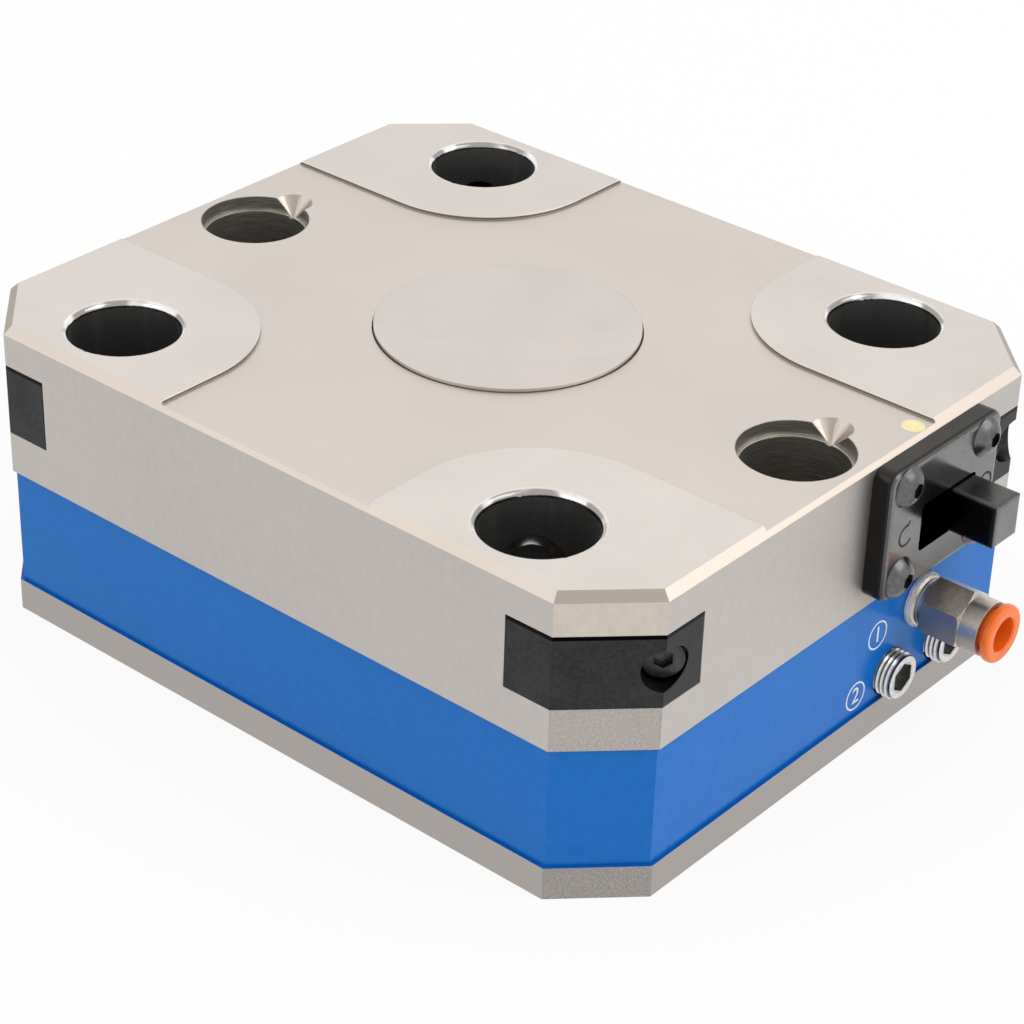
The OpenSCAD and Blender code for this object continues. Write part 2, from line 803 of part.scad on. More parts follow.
module fitting_body() {
    neck_len = fit_neck_x - face_x + port_depth - seat_gap;
    hex_len = fit_hex_x1 - fit_hex_x0;
    face_r = fit_hex / 2 + 0.2;
    rim_r = face_r + 2 * fit_hex_edge;
    color("Silver")
    difference() {
        union() {
            along_x(face_x - port_depth + seat_gap, fit_y, fit_z) rotate_extrude()
                thread_profile(port_r, neck_len, ridge);
            along_x(fit_neck_x - overlap, fit_y, fit_z)
                cylinder(r = fit_neck_r, h = fit_hex_x0 - fit_neck_x + 2 * overlap);
            along_x(fit_hex_x0, fit_y, fit_z) intersection() {
                hex_hole(fit_hex, hex_len);
                rotate_extrude()
                    polygon([[0, 0], [face_r, 0], [rim_r, fit_hex_edge], [rim_r, hex_len - fit_hex_edge],
                             [face_r, hex_len], [0, hex_len]]);
            }
            along_x(fit_hex_x1 - eps, fit_y, fit_z) cylinder(r = fit_round_r, h = fit_round_x - fit_hex_x1);
        }
        along_x(0, fit_y, fit_z) cylinder(r = passage_r, h = far);
        along_x(tube_stop_x, fit_y, fit_z) cylinder(r = tube_r, h = far);
        along_x(cup_x, fit_y, fit_z) cylinder(r = cup_r, h = far);
    }
}

module fitting_thread_seal() {
    color("White")
    along_x(band_x + seal_play, fit_y, fit_z) tube(port_r + seal_play + tape_t, port_r + seal_play, tape_w);
}

module fitting_tube_seal() {
    color("Black")
    along_x(cup_x + seat_gap, fit_y, fit_z) tube(cup_r - seat_gap, tube_r + seat_gap / 2, cup_seal_w);
}

// Ring whose inner edge grips the tube
module fitting_grip_ring() {
    r0 = tube_r + seat_gap;
    r1 = cup_r - seat_gap;
    color("Silver")
    along_x(grip_x, fit_y, fit_z) rotate_extrude()
        polygon([[r1, 0], [r1, grip_t], [r0, grip_t / 2], [r0, 0]]);
}

module fitting_collar() {
    sleeve_x = grip_x + grip_t + collar_gap;
    collar_x1 = collar_x0 + collar_t;
    color("OrangeRed")
    along_x(0, fit_y, fit_z) difference() {
        rotate_extrude() {
            translate([0, sleeve_x]) square([collar_sleeve_r, collar_x0 - sleeve_x + overlap]);
            translate([0, collar_x0]) square([collar_r - collar_round, collar_t]);
            translate([0, collar_x0 + collar_round]) square([collar_r, collar_t - 2 * collar_round]);
            for (x = [collar_x0 + collar_round, collar_x1 - collar_round])
                translate([collar_r - collar_round, x]) circle(collar_round, $fn = 32);
        }
        cylinder(r = collar_bore_r, h = far);
        translate([0, 0, collar_x1 - collar_lead])
            cylinder(r1 = collar_bore_r - eps, r2 = collar_bore_r + collar_lead + eps, h = collar_lead + 2 * eps);
    }
}

module port_plug(y) {
    x0 = face_x - plug_depth + slide_gap;
    x1 = band_x + plug_out;
    len = x1 - x0;
    color("Gainsboro")
    difference() {
        along_x(x0, y, plug_z) rotate_extrude() intersection() {
            thread_profile(plug_r, len, ridge);
            polygon([[0, 0], [plug_r, 0], [plug_r, len - plug_edge], [plug_r - plug_edge, len], [0, len]]);
        }
        along_x(x1 - plug_key_depth, y, plug_z) hex_hole(plug_key, far);
    }
}

module passage_plug() {
    color("Khaki")
    translate([brass_x, brass_y, relief_z - brass_depth]) cylinder(r = brass_r, h = brass_depth);
}

module_body();
blue_side_band();
centre_cover();
base_cover();
base_cover_screws();
base_seal();
clamp_piston();
piston_seal();
hub_seal();
lock_spring();
locking_pin(1);  // locking_pin_1
locking_pin(2);  // locking_pin_2
locking_pin(3);  // locking_pin_3
locking_pin(4);  // locking_pin_4
pin_seal(1);  // pin_seal_1
pin_seal(2);  // pin_seal_2
pin_seal(3);  // pin_seal_3
pin_seal(4);  // pin_seal_4
corner_block(1);  // corner_block_1
corner_block(2);  // corner_block_2
corner_block(3);  // corner_block_3
corner_block(4);  // corner_block_4
corner_block_screws();
switch_plate();
switch_plate_screws();
switch_lever();
valve_housing();
valve_spool();
spool_seals();
fitting_body();
fitting_thread_seal();
fitting_tube_seal();
fitting_grip_ring();
fitting_collar();
port_plug(plug_y);  // port_plug_1
port_plug(plug_y + plug_pitch);  // port_plug_2
passage_plug();
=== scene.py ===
"""Looks of the quick-change clamping module: materials, small trim, light and camera.

All lengths are in metres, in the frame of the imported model: +Z up, +X towards the switch end.
"""
import json
import math
import bpy
import bmesh
from mathutils import Matrix, Vector


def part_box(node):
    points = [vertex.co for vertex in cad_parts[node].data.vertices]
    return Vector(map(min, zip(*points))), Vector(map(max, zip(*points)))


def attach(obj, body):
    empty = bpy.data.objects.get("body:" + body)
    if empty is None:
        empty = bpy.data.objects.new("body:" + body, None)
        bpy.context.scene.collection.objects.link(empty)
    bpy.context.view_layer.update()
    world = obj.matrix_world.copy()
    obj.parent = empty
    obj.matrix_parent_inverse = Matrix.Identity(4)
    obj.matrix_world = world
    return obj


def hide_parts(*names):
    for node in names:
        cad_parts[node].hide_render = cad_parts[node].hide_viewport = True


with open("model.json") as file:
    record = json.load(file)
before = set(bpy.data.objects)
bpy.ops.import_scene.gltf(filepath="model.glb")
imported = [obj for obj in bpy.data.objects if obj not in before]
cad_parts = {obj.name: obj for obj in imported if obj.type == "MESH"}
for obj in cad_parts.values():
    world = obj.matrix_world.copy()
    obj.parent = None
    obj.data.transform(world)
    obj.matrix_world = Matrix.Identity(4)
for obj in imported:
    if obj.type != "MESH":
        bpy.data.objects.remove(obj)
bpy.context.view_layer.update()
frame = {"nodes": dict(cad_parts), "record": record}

MM = 0.001
nodes = frame["nodes"]


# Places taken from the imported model
BLOCK_LO, BLOCK_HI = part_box("module_body")
PLATE_LO, PLATE_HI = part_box("switch_plate")
BAND_LO, BAND_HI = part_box("blue_side_band")
HEX_LO, HEX_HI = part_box("fitting_body")
CORNER_LO, CORNER_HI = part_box("corner_block_1")
PLUG_BOXES = [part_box("port_plug_1"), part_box("port_plug_2")]
STUD_C = 48 * MM
BOLT_C = 63.5 * MM
TOP_Z = BLOCK_HI[2]
RELIEF_Z = TOP_Z - 0.7 * MM


# Shader helpers

class Graph:
    """Builds one material's node tree with short calls."""

    def __init__(self, name):
        self.mat = bpy.data.materials.new(name)
        self.mat.use_nodes = True
        self.tree = self.mat.node_tree
        self.tree.nodes.clear()
        self.out = self.node("ShaderNodeOutputMaterial")
        self.bsdf = self.node("ShaderNodeBsdfPrincipled")
        self.link(self.bsdf.outputs[0], self.out.inputs[0])
        self.coord = self.node("ShaderNodeTexCoord").outputs["Object"]

    def node(self, kind, **values):
        n = self.tree.nodes.new(kind)
        for key, value in values.items():
            setattr(n, key, value)
        return n

    def link(self, a, b):
        self.tree.links.new(a, b)

    def feed(self, socket, value):
        if hasattr(value, "links"):
            self.link(value, socket)
        else:
            socket.default_value = value

    def maths(self, operation, a, b=0.0, c=0.0, clamp=False):
        n = self.node("ShaderNodeMath", operation=operation, use_clamp=clamp)
        for socket, value in zip(n.inputs, (a, b, c)):
            self.feed(socket, value)
        return n.outputs[0]

    def vector(self, operation, a, b=(0.0, 0.0, 0.0), out=0):
        n = self.node("ShaderNodeVectorMath", operation=operation)
        self.feed(n.inputs[0], a)
        if operation != "ABSOLUTE" and operation != "LENGTH":
            self.feed(n.inputs[1], b)
        return n.outputs[out]

    def stretch(self, scale):
        """Object coordinates times a scale for each axis."""
        return self.vector("MULTIPLY", self.coord, scale)

    def noise(self, coord, scale, detail=3.0, rough=0.55):
        n = self.node("ShaderNodeTexNoise")
        self.link(coord, n.inputs["Vector"])
        n.inputs["Scale"].default_value = scale
        n.inputs["Detail"].default_value = detail
        n.inputs["Roughness"].default_value = rough
        return n.outputs["Fac"]

    def ramp(self, value, lo, hi, out_lo=0.0, out_hi=1.0):
        """Smooth step of value from lo to hi."""
        n = self.node("ShaderNodeMapRange", interpolation_type="SMOOTHSTEP")
        for socket, v in zip(n.inputs, (value, lo, hi, out_lo, out_hi)):
            self.feed(socket, v)
        return n.outputs[0]

    def blend(self, fac, a, b):
        """Colour mixed from a to b."""
        n = self.node("ShaderNodeMix", data_type="RGBA")
        self.feed(n.inputs[0], fac)
        for socket, value in ((n.inputs[6], a), (n.inputs[7], b)):
            self.feed(socket, value if hasattr(value, "links") else (*value, 1.0))
        return n.outputs[2]

    def mix(self, fac, a, b):
        """Number mixed from a to b."""
        n = self.node("ShaderNodeMix", data_type="FLOAT")
        self.feed(n.inputs[0], fac)
        self.feed(n.inputs[2], a)
        self.feed(n.inputs[3], b)
        return n.outputs[0]

    def bump(self, height, distance, strength=1.0, normal=None):
        n = self.node("ShaderNodeBump")
        self.link(height, n.inputs["Height"])
        n.inputs["Distance"].default_value = distance
        self.feed(n.inputs["Strength"], strength)
        if normal is not None:
            self.link(normal, n.inputs["Normal"])
        return n.outputs[0]

    def rounded(self, radius):
        """Normal that rounds sharp edges a little."""
        n = self.node("ShaderNodeBevel", samples=4)
        n.inputs["Radius"].default_value = radius
        return n.outputs[0]

    def axes(self, socket=None):
        n = self.node("ShaderNodeSeparateXYZ")
        self.link(socket if socket is not None else self.coord, n.inputs[0])
        return n.outputs[0], n.outputs[1], n.outputs[2]

    def facing(self):
        """The true surface normal's three parts."""
        return self.axes(self.node("ShaderNodeNewGeometry").outputs["True Normal"])

    def apart(self, x, y):
        """Distance across XY from the nearest of four points at plus and minus x and y."""
        folded = self.vector("ABSOLUTE", self.coord)
        offset = self.vector("SUBTRACT", folded, (x, y, 0.0))
        flat = self.vector("MULTIPLY", offset, (1.0, 1.0, 0.0))
        return self.vector("LENGTH", flat, out=1)


def grey(value, warm=0.0):
    """Linear grey with a little warmth."""
    return (value * (1 + warm), value, value * (1 - warm))


# Materials

def ground_steel():
    """Satin ground block: pale top and cooler sides, the top paler partly by its ground finish and partly as
    painted light; painted light and shade on the +X side, the chamfers and the pad walls; blasted foot; dark bores
    with painted highlights and painted shade; polished lips with painted reflections.
    """
    g = Graph("ground_steel")
    x, y, z = g.axes()
    nx, ny, nz = g.facing()
    up = g.ramp(nz, 0.8, 0.95)
    wall = g.ramp(g.maths("ABSOLUTE", nz), 0.3, 0.5, 1.0, 0.0)
    both = g.maths("MULTIPLY", g.maths("ABSOLUTE", nx), g.maths("ABSOLUTE", ny))
    bevel = g.maths("MULTIPLY", g.ramp(nz, 0.4, 0.6), g.maths("SUBTRACT", 1.0, up))
    cloud = g.noise(g.coord, 45.0, 3.0)
    patch = g.noise(g.coord, 14.0, 2.0)
    grain = g.noise(g.coord, 2600.0, 2.0)
    mottle = g.noise(g.stretch((1.0, 1.0, 0.6)), 700.0, 4.0, 0.6)
    lay = g.noise(g.stretch((1.0, 60.0, 1.0)), 90.0, 3.0)

    pad = g.ramp(z, RELIEF_Z + 0.2 * MM, TOP_Z - 0.2 * MM)
    relief = g.blend(g.ramp(patch, 0.3, 0.7), (0.615, 0.560, 0.520), (0.655, 0.585, 0.530))
    top = g.blend(pad, relief, (0.665, 0.620, 0.580))
    top = g.blend(g.ramp(cloud, 0.35, 0.8, 0.0, 0.5), top, (0.60, 0.555, 0.52))
    brushed = g.maths("MULTIPLY", g.ramp(lay, 0.35, 0.75), 0.35)
    top = g.blend(brushed, top, (0.60, 0.555, 0.515))

    side = g.blend(g.ramp(mottle, 0.25, 0.75), (0.495, 0.464, 0.440), (0.528, 0.495, 0.468))
    side = g.blend(g.ramp(patch, 0.35, 0.75, 0.0, 0.35), side, (0.56, 0.525, 0.495))
    # Painted light: the side that faces +X is painted 10% lighter.
    side = g.blend(g.ramp(nx, 0.5, 0.9), side, g.vector("MULTIPLY", side, (1.10, 1.10, 1.10)))
    flat_corner = g.ramp(both, 0.3, 0.45)
    foot = g.ramp(z, 6.0 * MM, 7.0 * MM, 1.0, 0.0)
    speckle = g.noise(g.coord, 3000.0, 3.0, 0.65)
    spots = g.ramp(speckle, 0.3, 0.7)
    blasted = g.blend(spots, (0.39, 0.355, 0.330), (0.52, 0.478, 0.446))
    blasted_foot = g.blend(spots, (0.275, 0.255, 0.240), (0.425, 0.395, 0.372))
    upper = g.ramp(z, CORNER_LO[2] + 2.0 * MM, CORNER_LO[2] + 4.0 * MM)
    corner_low = g.maths("MULTIPLY", flat_corner, g.maths("SUBTRACT", 1.0, upper))
    creamy = g.blend(g.ramp(mottle, 0.3, 0.7), (0.595, 0.527, 0.462), (0.640, 0.570, 0.502))
    side = g.blend(g.maths("MULTIPLY", flat_corner, upper), side, creamy)
    side = g.blend(corner_low, side, blasted)
    side = g.blend(foot, side, g.blend(flat_corner, (0.415, 0.385, 0.362), blasted_foot))
    grainy = g.maths("MAXIMUM", corner_low, g.maths("MULTIPLY", foot, flat_corner))
    # The top is paler than the sides: partly the ground finish, partly painted light from above.
    colour = g.blend(up, side, top)
    # Chamfer tone, partly painted light and shade: lighter where it faces +X or -X, painted darker on the corner
    # flats.
    chamfer_tone_painted_light = g.blend(g.ramp(g.maths("ABSOLUTE", nx), 0.35, 0.6), (0.68, 0.60, 0.53), (0.745, 0.650, 0.565))
    chamfer_tone_painted_light = g.blend(g.ramp(both, 0.1, 0.2), chamfer_tone_painted_light, (0.415, 0.360, 0.310))
    colour = g.blend(bevel, colour, chamfer_tone_painted_light)

    # The raised pads' edges: painted shade on the wall with a painted highlight along its top
    step = g.maths("MULTIPLY", wall, g.ramp(z, RELIEF_Z, RELIEF_Z + 0.05 * MM))
    inner = g.ramp(g.maths("MAXIMUM", g.maths("DIVIDE", g.maths("ABSOLUTE", x), BLOCK_HI[0]),
                           g.maths("DIVIDE", g.maths("ABSOLUTE", y), BLOCK_HI[1])), 0.985, 0.99, 1.0, 0.0)
    step = g.maths("MULTIPLY", step, inner)
    rim = g.ramp(z, TOP_Z - 0.26 * MM, TOP_Z - 0.2 * MM)
    colour = g.blend(step, colour, g.blend(rim, (0.22, 0.185, 0.155), (0.95, 0.92, 0.88)))

    stud = g.apart(STUD_C, STUD_C)
    bolt = g.apart(BOLT_C, 0.0)
    off_base = g.ramp(z, 0.5 * MM, 1.0 * MM)
    below = g.maths("MULTIPLY", g.ramp(z, TOP_Z - 1.3 * MM, TOP_Z - 1.0 * MM, 1.0, 0.0), off_base)
    in_stud = g.maths("MULTIPLY", g.ramp(stud, 10.15 * MM, 10.3 * MM, 1.0, 0.0), below)
    near_top = g.maths("MULTIPLY", g.ramp(z, TOP_Z - 3.0 * MM, TOP_Z - 2.0 * MM), g.maths("SUBTRACT", 1.0, in_stud))
    lip = g.maths("MULTIPLY", g.ramp(stud, 11.0 * MM, 11.15 * MM, 1.0, 0.0), near_top)
    in_bolt = g.maths("MULTIPLY", g.ramp(bolt, 10.25 * MM, 10.35 * MM, 1.0, 0.0), off_base)
    ledge = g.maths("MULTIPLY", g.ramp(bolt, 9.88 * MM, 9.98 * MM, 1.0, 0.0), up)
    inside = g.maths("MAXIMUM", in_stud, in_bolt)
    # Stud bore walls: a dark base tone with painted highlights in faint vertical lines
    painted_highlight_streaks = g.noise(g.stretch((1.0, 1.0, 0.02)), 260.0, 2.0, 0.5)
    turning = g.noise(g.stretch((0.05, 0.05, 1.0)), 5200.0, 3.0)
    flecks = g.ramp(speckle, 0.4, 0.8)
    # Painted shade: the stud bore walls are painted darker from about 17 to 20 mm below the top downwards
    painted_depth_shade = g.ramp(z, TOP_Z - 20.0 * MM, TOP_Z - 17.0 * MM, 1.0, 0.0)
    dark_stud = g.blend(g.ramp(painted_highlight_streaks, 0.45, 0.8), (0.215, 0.213, 0.21), (0.32, 0.315, 0.31))
    dark_stud = g.blend(g.maths("MULTIPLY", flecks, 0.5), dark_stud, (0.40, 0.39, 0.38))
    dark_stud = g.blend(g.maths("MULTIPLY", painted_depth_shade, 0.55), dark_stud, (0.10, 0.10, 0.10))
    dark_bolt = g.blend(g.ramp(turning, 0.35, 0.75), (0.32, 0.30, 0.275), (0.56, 0.54, 0.50))
    dark = g.blend(in_bolt, dark_stud, dark_bolt)
    dark = g.blend(ledge, dark, (0.72, 0.66, 0.56))
    colour = g.blend(inside, colour, dark)
    # Painted reflections on the polished lips: bright segments with grey dips around the ring
    painted_glint_noise = g.noise(g.coord, 150.0, 1.0)
    lip_painted_glints = g.blend(g.ramp(painted_glint_noise, 0.42, 0.58), (0.36, 0.34, 0.33), (0.90, 0.88, 0.86))
    lip_painted_glints = g.blend(g.ramp(stud, 10.45 * MM, 10.95 * MM), lip_painted_glints, (0.66, 0.615, 0.575))
    colour = g.blend(lip, colour, lip_painted_glints)
    g.link(colour, g.bsdf.inputs["Base Color"])

    rough = g.mix(up, 0.46, g.mix(pad, 0.42, 0.36))
    rough = g.mix(grainy, rough, 0.55)
    rough = g.mix(inside, rough, 0.46)
    rough = g.mix(lip, rough, 0.12)
    rough = g.maths("ADD", rough, g.ramp(cloud, 0.2, 0.8, -0.03, 0.03))
    g.link(rough, g.bsdf.inputs["Roughness"])
    g.bsdf.inputs["Metallic"].default_value = 1.0

    height = g.maths("ADD", g.maths("MULTIPLY", grain, 0.4), g.maths("MULTIPLY", lay, 0.3))
    height = g.maths("ADD", height, g.maths("MULTIPLY", grainy, g.maths("MULTIPLY", speckle, 3.0)))
    height = g.maths("ADD", height, g.maths("MULTIPLY", in_bolt, g.maths("MULTIPLY", turning, 1.2)))
    g.link(g.bump(height, 0.012 * MM, 0.6, g.rounded(0.18 * MM)), g.bsdf.inputs["Normal"])
    return g.mat


def plain_steel(name, dark, light, rough, scale=900.0, bump=0.01, squash=(1.0, 1.0, 1.0), bevel=0.12):
    """Metal of one finish with fine variation in colour, gloss and surface."""
    g = Graph(name)
    fine = g.noise(g.stretch(squash), scale, 3.0, 0.6)
    broad = g.noise(g.coord, scale / 12.0, 3.0)
    tone = g.maths("ADD", g.maths("MULTIPLY", fine, 0.5), g.maths("MULTIPLY", broad, 0.5))
    g.link(g.blend(g.ramp(tone, 0.35, 0.65), dark, light), g.bsdf.inputs["Base Color"])
    g.link(g.ramp(broad, 0.25, 0.75, rough - 0.04, rough + 0.05), g.bsdf.inputs["Roughness"])
    g.bsdf.inputs["Metallic"].default_value = 1.0
    g.link(g.bump(fine, bump * MM, 0.6, g.rounded(bevel * MM)), g.bsdf.inputs["Normal"])
    return g.mat


def faced_steel(name, painted_face_tones, rough, scale=1500.0, bump=0.006, bevel=0.12):
    """Metal with painted light and shade by facing: three colours are painted on the sides, the top and the end
    that looks to +X.
    """
    g = Graph(name)
    nx, ny, nz = g.facing()
    fine = g.noise(g.coord, scale, 3.0, 0.6)
    broad = g.noise(g.coord, scale / 12.0, 3.0)
    # Painted light and shade: sides, top and +X end each get their own colour
    colour = g.blend(g.ramp(g.maths("ABSOLUTE", nz), 0.4, 0.95), painted_face_tones[0], painted_face_tones[1])
    colour = g.blend(g.ramp(nx, 0.5, 0.95), colour, painted_face_tones[2])
    worn = g.vector("MULTIPLY", colour, (0.78, 0.78, 0.78))
    g.link(g.blend(g.ramp(g.maths("ADD", g.maths("MULTIPLY", fine, 0.5), g.maths("MULTIPLY", broad, 0.5)),
                          0.35, 0.65), colour, worn), g.bsdf.inputs["Base Color"])
    g.link(g.ramp(broad, 0.25, 0.75, rough - 0.04, rough + 0.05), g.bsdf.inputs["Roughness"])
    g.bsdf.inputs["Metallic"].default_value = 1.0
    g.link(g.bump(fine, bump * MM, 0.6, g.rounded(bevel * MM)), g.bsdf.inputs["Normal"])
    return g.mat


def corner_steel():
    """Blackened corner block, with a painted shadow line along the top of its outer faces, under the block's upper
    part.
    """
    g = Graph("corner_black")
    x, y, z = g.axes()
    nx, ny, nz = g.facing()
    fine = g.noise(g.coord, 1300.0, 3.0, 0.6)
    broad = g.noise(g.coord, 110.0, 3.0)
    tone = g.maths("ADD", g.maths("MULTIPLY", fine, 0.5), g.maths("MULTIPLY", broad, 0.5))
    colour = g.blend(g.ramp(tone, 0.35, 0.65), grey(0.030), grey(0.046))
    # Painted shadow: the top 0.6 to 0.75 mm of the outer faces is near black
    painted_gap_shadow = g.ramp(z, CORNER_HI[2] - 0.75 * MM, CORNER_HI[2] - 0.60 * MM)
    outer = g.ramp(g.maths("ABSOLUTE", nz), 0.3, 0.5, 1.0, 0.0)
    colour = g.blend(g.maths("MULTIPLY", painted_gap_shadow, outer), colour, grey(0.002))
    g.link(colour, g.bsdf.inputs["Base Color"])
    g.link(g.ramp(broad, 0.25, 0.75, 0.32, 0.41), g.bsdf.inputs["Roughness"])
    g.bsdf.inputs["Metallic"].default_value = 1.0
    g.link(g.bump(fine, 0.010 * MM, 0.6, g.rounded(0.25 * MM)), g.bsdf.inputs["Normal"])
    return g.mat


def plate_steel():
    """Polished black plate with painted light and shade: painted dark sides and edges, and a painted grey
    reflection on the face that looks to +X, darker towards the bottom.
    """
    g = Graph("plate_black")
    x, y, z = g.axes()
    nx, ny, nz = g.facing()
    fine = g.noise(g.coord, 1500.0, 3.0, 0.6)
    broad = g.noise(g.coord, 125.0, 3.0)
    # Painted reflection: the face to +X is grey, darker towards the bottom
    face = g.blend(g.ramp(z, PLATE_LO[2] + 1.0 * MM, PLATE_LO[2] + 11.0 * MM), grey(0.125), grey(0.225, 0.01))
    # Painted shade: sides and edges near black, upper and lower faces a little lighter
    colour = g.blend(g.ramp(g.maths("ABSOLUTE", nz), 0.4, 0.95), grey(0.028), grey(0.042, 0.1))
    colour = g.blend(g.ramp(nx, 0.5, 0.95), colour, face)
    worn = g.vector("MULTIPLY", colour, (0.80, 0.80, 0.80))
    tone = g.maths("ADD", g.maths("MULTIPLY", fine, 0.5), g.maths("MULTIPLY", broad, 0.5))
    g.link(g.blend(g.ramp(tone, 0.35, 0.65), colour, worn), g.bsdf.inputs["Base Color"])
    g.link(g.ramp(broad, 0.25, 0.75, 0.14, 0.23), g.bsdf.inputs["Roughness"])
    g.bsdf.inputs["Metallic"].default_value = 1.0
    g.link(g.bump(fine, 0.006 * MM, 0.6, g.rounded(0.25 * MM)), g.bsdf.inputs["Normal"])
    return g.mat


def nickel():
    """Bright nickel with painted light and reflections: bright and brownish on upper faces, dark and bluish on
    lower ones, pale on the round end and the edges that face +X.
    """
    g = Graph("nickel")
    x, y, z = g.axes()
    nx, ny, nz = g.facing()
    fine = g.noise(g.stretch((1.0, 1.0, 1.0)), 1100.0, 3.0, 0.6)
    broad = g.noise(g.coord, 160.0, 2.0)
    # Painted light on the hex: bright on upper faces, dark on lower ones, with broad darker patches
    painted_facet_light = g.blend(g.ramp(nz, -0.2, 0.75), (0.215, 0.208, 0.210), (0.96, 0.86, 0.76))
    painted_facet_light = g.blend(g.ramp(broad, 0.4, 0.75, 0.0, 0.6), painted_facet_light, (0.34, 0.31, 0.285))
    round_part = g.ramp(x, HEX_HI[0] - 3.95 * MM, HEX_HI[0] - 3.85 * MM)
    # Painted light on the round part: lighter above, darker below
    ring = g.blend(g.ramp(nz, -0.5, 0.7), (0.30, 0.272, 0.255), (0.74, 0.67, 0.61))
    colour = g.blend(round_part, painted_facet_light, ring)
    # Painted highlight on the round end and the edges that face +X
    colour = g.blend(g.ramp(nx, 0.15, 0.6), colour, (0.62, 0.55, 0.48))
    g.link(g.blend(g.ramp(fine, 0.35, 0.65, 0.0, 0.3), colour, (0.35, 0.33, 0.31)), g.bsdf.inputs["Base Color"])
    g.link(g.ramp(broad, 0.25, 0.75, 0.32, 0.40), g.bsdf.inputs["Roughness"])
    g.bsdf.inputs["Metallic"].default_value = 1.0
    g.link(g.bump(fine, 0.006 * MM, 0.6, g.rounded(0.15 * MM)), g.bsdf.inputs["Normal"])
    return g.mat


def zinc():
    """Bright zinc with painted shade in the thread valleys and painted shade in the key socket."""
    g = Graph("plug_zinc")
    x, y, z = g.axes()
    nx, ny, nz = g.facing()
    fine = g.noise(g.coord, 1200.0, 3.0, 0.6)
    broad = g.noise(g.coord, 200.0, 2.0)
    away = None
    for lo, hi in PLUG_BOXES:
        dy = g.maths("SUBTRACT", y, (lo[1] + hi[1]) / 2)
        dz = g.maths("SUBTRACT", z, (lo[2] + hi[2]) / 2)
        d = g.maths("SQRT", g.maths("ADD", g.maths("MULTIPLY", dy, dy), g.maths("MULTIPLY", dz, dz)))
        away = d if away is None else g.maths("MINIMUM", away, d)
    radius = (PLUG_BOXES[0][1][2] - PLUG_BOXES[0][0][2]) / 2
    bright = g.blend(g.ramp(fine, 0.35, 0.65), (0.61, 0.605, 0.597), (0.76, 0.752, 0.742))
    # Painted shade in the thread valleys
    painted_valley_shade = g.maths("MULTIPLY", g.ramp(away, radius - 0.45 * MM, radius - 0.12 * MM, 1.0, 0.0),
                     g.ramp(nx, 0.85, 0.95, 1.0, 0.0))
    outside = g.ramp(away, radius - 1.3 * MM, radius - 1.2 * MM)
    colour = g.blend(g.maths("MULTIPLY", painted_valley_shade, outside), bright, (0.13, 0.14, 0.16))
    # Painted shade: the key socket is darker
    painted_hole_shade = g.ramp(away, 2.95 * MM, 3.05 * MM, 1.0, 0.0)
    g.link(g.blend(g.maths("MULTIPLY", painted_hole_shade, 0.4), colour, (0.24, 0.235, 0.23)), g.bsdf.inputs["Base Color"])
    g.link(g.ramp(broad, 0.25, 0.75, 0.16, 0.25), g.bsdf.inputs["Roughness"])
    g.bsdf.inputs["Metallic"].default_value = 1.0
    g.link(g.bump(fine, 0.008 * MM, 0.6, g.rounded(0.12 * MM)), g.bsdf.inputs["Normal"])
    return g.mat


def cover_steel():
    """Ground centre cover, with a faint rim."""
    g = Graph("cover_steel")
    cloud = g.noise(g.coord, 60.0, 3.0)
    grain = g.noise(g.coord, 2600.0, 2.0)
    lay = g.noise(g.stretch((1.0, 60.0, 1.0)), 90.0, 3.0)
    g.link(g.blend(g.ramp(cloud, 0.3, 0.7), (0.635, 0.578, 0.538), (0.600, 0.555, 0.520)),
           g.bsdf.inputs["Base Color"])
    g.link(g.ramp(cloud, 0.2, 0.8, 0.36, 0.42), g.bsdf.inputs["Roughness"])
    g.bsdf.inputs["Metallic"].default_value = 1.0
    height = g.maths("ADD", g.maths("MULTIPLY", grain, 0.4), g.maths("MULTIPLY", lay, 0.3))
    g.link(g.bump(height, 0.012 * MM, 0.6, g.rounded(0.18 * MM)), g.bsdf.inputs["Normal"])
    return g.mat


def blue_paint():
    """Smooth satin paint with a slight unevenness, and painted shade on the faces that look to +Y or -Y."""
    g = Graph("blue_paint")
    x, y, z = g.axes()
    ny = g.maths("ABSOLUTE", g.facing()[1])
    wave = g.noise(g.coord, 120.0, 2.0)
    fine = g.noise(g.coord, 2500.0, 2.0)
    speck = g.noise(g.coord, 700.0, 3.0)
    ledge = g.ramp(z, BAND_LO[2] + 0.10 * MM, BAND_LO[2] + 0.35 * MM, 1.0, 0.0)
    colour = g.blend(g.ramp(speck, 0.3, 0.7), (0.006, 0.158, 0.560), (0.010, 0.170, 0.590))
    # Painted shade on the faces that look to +Y or -Y
    painted_side_shade = g.ramp(ny, 0.2, 0.6, 0.0, 0.22)
    colour = g.blend(painted_side_shade, colour, (0.003, 0.100, 0.300))
    colour = g.blend(ledge, colour, (0.004, 0.115, 0.460))
    g.link(colour, g.bsdf.inputs["Base Color"])
    g.link(g.ramp(wave, 0.3, 0.7, 0.20, 0.25), g.bsdf.inputs["Roughness"])
    g.bsdf.inputs["Metallic"].default_value = 0.0
    g.bsdf.inputs["Specular IOR Level"].default_value = 0.13
    g.bsdf.inputs["Coat Weight"].default_value = 0.04
    g.bsdf.inputs["Coat Roughness"].default_value = 0.08
    height = g.maths("ADD", wave, g.maths("MULTIPLY", fine, 0.15))
    g.link(g.bump(height, 0.02 * MM, 0.35), g.bsdf.inputs["Normal"])
    return g.mat


